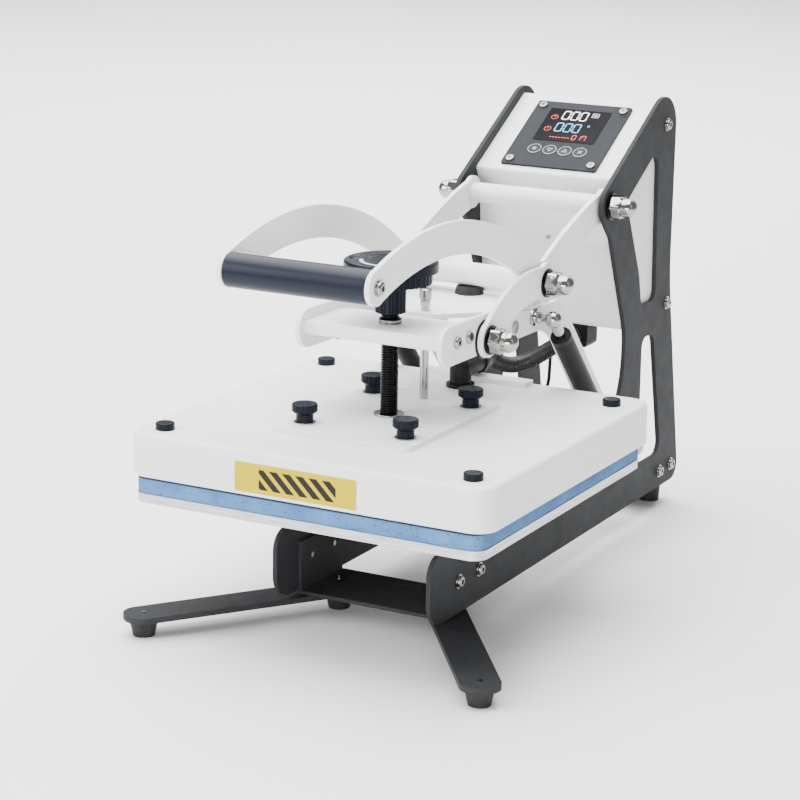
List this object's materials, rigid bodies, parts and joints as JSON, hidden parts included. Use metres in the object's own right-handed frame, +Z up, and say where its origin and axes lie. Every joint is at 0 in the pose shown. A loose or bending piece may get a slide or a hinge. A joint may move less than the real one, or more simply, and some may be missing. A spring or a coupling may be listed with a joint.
{
  "type": "heat press",
  "caption": "Clamshell heat press with flat square platens, a toggle handle, gas struts, a pressure knob and a sloping digital control panel on a two-plate frame.",
  "frame": {"origin": "on the bench, under the middle of the press's bounding box", "axes": "+Z up, front (grip and platens) faces -Y, +X to the right as seen from the front"},
  "size_m": [0.4144, 0.755, 0.4879],
  "materials": {
    "charcoal_coat": "satin",
    "white_coat": "satin",
    "grip_anodised": "satin",
    "knob_plastic": "satin",
    "black_plastic": "matte",
    "panel_plastic": "satin",
    "screen": "gloss",
    "button_plastic": "gloss",
    "silicone": "matte",
    "rubber": "matte",
    "chrome": "polished",
    "screw_steel": "satin",
    "black_steel": "satin",
    "platen_aluminium": "satin",
    "platen_coated": "satin"
  },
  "bodies": {
    "frame": {"side_plate_right": "charcoal_coat", "side_plate_left": "charcoal_coat", "front_bracket": "charcoal_coat", "rear_bracket": "charcoal_coat", "leg_right": "charcoal_coat", "leg_left": "charcoal_coat", "front_feet": "rubber", "rear_feet": "rubber", "platen_supports": "charcoal_coat", "lower_plate": "platen_aluminium", "silicone_pad": "silicone", "control_housing": "white_coat", "control_panel": "panel_plastic", "display_window": "screen", "touch_buttons": "button_plastic", "panel_screws": "screw_steel", "frame_fasteners": "screw_steel", "upper_pivot_bolt": "chrome", "lower_pivot_bolt": "chrome", "conduit_gland": "black_plastic", "power_inlet": "black_plastic", "sensor_wire": "black_plastic"},
    "main_arm": {"arm_plate_right": "white_coat", "arm_plate_left": "white_coat", "crossbar": "white_coat", "arm_screws": "screw_steel", "arm_tube_front": "white_coat", "arm_tube_rear": "white_coat", "front_pivot_nuts": "chrome", "guide_plate": "white_coat", "toggle_bumper": "rubber", "strut_studs": "screw_steel", "conduit": "black_plastic"},
    "handle": {"lever_plate_right": "white_coat", "lever_plate_left": "white_coat", "grip": "grip_anodised", "lever_tube_upper": "white_coat", "lever_tube_middle": "white_coat", "handle_screws": "screw_steel"},
    "toggle_links": {"link_plate_right": "white_coat", "link_plate_left": "white_coat", "middle_pivot_nuts": "chrome"},
    "heat_platen": {"platen_cover": "white_coat", "heat_plate": "platen_coated", "knob_plate": "white_coat", "cover_plugs": "knob_plastic", "guide_pin": "chrome", "knob_plate_hardware": "screw_steel", "elbow_fitting": "black_plastic"},
    "pressure_screw": {"pressure_screw": "black_steel", "pressure_knob": "knob_plastic"},
    "strut_cylinders": {"strut_cylinder_right": "black_steel", "strut_cylinder_left": "black_steel"},
    "strut_rods": {"strut_rod_right": "screw_steel", "strut_rod_left": "screw_steel"},
    "power_switch": {"power_switch": "black_plastic"},
    "clamp_knob_left_front": {"clamp_knob_left_front": "knob_plastic"},
    "clamp_knob_left_rear": {"clamp_knob_left_rear": "knob_plastic"},
    "clamp_knob_right_front": {"clamp_knob_right_front": "knob_plastic"},
    "clamp_knob_right_rear": {"clamp_knob_right_rear": "knob_plastic"}
  },
  "joints": [
    {"name": "arm_open", "type": "hinge", "parent": "frame", "child": "main_arm", "pos_m": [0, 0.19554, 0.109], "axis": [-1, 0, 0], "range_deg": [0, 31], "deforming": ["conduit"]},
    {"name": "handle_lift", "type": "hinge", "parent": "frame", "child": "handle", "pos_m": [0, 0.14914, 0.3856], "axis": [-1, 0, 0], "range_deg": [0, 90.18]},
    {"name": "link_swing", "type": "hinge", "parent": "main_arm", "child": "toggle_links", "pos_m": [0, -0.13926, 0.2944], "axis": [1, 0, 0], "range_deg": [0, 65.53]},
    {"name": "strut_swing", "type": "hinge", "parent": "main_arm", "child": "strut_cylinders", "pos_m": [0, -0.02386, 0.295], "axis": [-1, 0, 0], "range_deg": [0, 1.89]},
    {"name": "strut_stroke", "type": "slide", "parent": "strut_cylinders", "child": "strut_rods", "axis": [0, 0.6904, -0.7235], "range_m": [0, 0.0196]},
    {"name": "platen_height", "type": "slide", "parent": "main_arm", "child": "heat_platen", "axis": [0, 0, 1], "range_m": [0, 0.01]},
    {"name": "pressure_turn", "type": "hinge", "parent": "heat_platen", "child": "pressure_screw", "pos_m": [0, -0.18446, 0.317], "axis": [0, 0, 1], "range_deg": [0, 1440]},
    {"name": "power_rocker", "type": "hinge", "parent": "frame", "child": "power_switch", "pos_m": [-0.019, 0.32304, 0.274], "axis": [-1, 0, 0], "range_deg": [0, 12]},
    {"name": "clamp_turn_left_front", "type": "hinge", "parent": "heat_platen", "child": "clamp_knob_left_front", "pos_m": [-0.056, -0.25446, 0.227], "axis": [0, 0, 1], "continuous": true},
    {"name": "clamp_turn_left_rear", "type": "hinge", "parent": "heat_platen", "child": "clamp_knob_left_rear", "pos_m": [-0.056, -0.11446, 0.227], "axis": [0, 0, 1], "continuous": true},
    {"name": "clamp_turn_right_front", "type": "hinge", "parent": "heat_platen", "child": "clamp_knob_right_front", "pos_m": [0.056, -0.25446, 0.227], "axis": [0, 0, 1], "continuous": true},
    {"name": "clamp_turn_right_rear", "type": "hinge", "parent": "heat_platen", "child": "clamp_knob_right_rear", "pos_m": [0.056, -0.11446, 0.227], "axis": [0, 0, 1], "continuous": true}
  ],
  "couplings": [
    {"joint": "handle_lift", "follows": "arm_open", "ratio": 2.9087},
    {"joint": "link_swing", "follows": "arm_open", "ratio": 2.1136},
    {"joint": "strut_swing", "follows": "arm_open", "ratio": 0.060525},
    {"joint": "strut_stroke", "follows": "arm_open", "m_per_rad": 0.036046},
    {"joint": "pressure_turn", "follows": "platen_height", "rad_per_m": 2513.2}
  ]
}
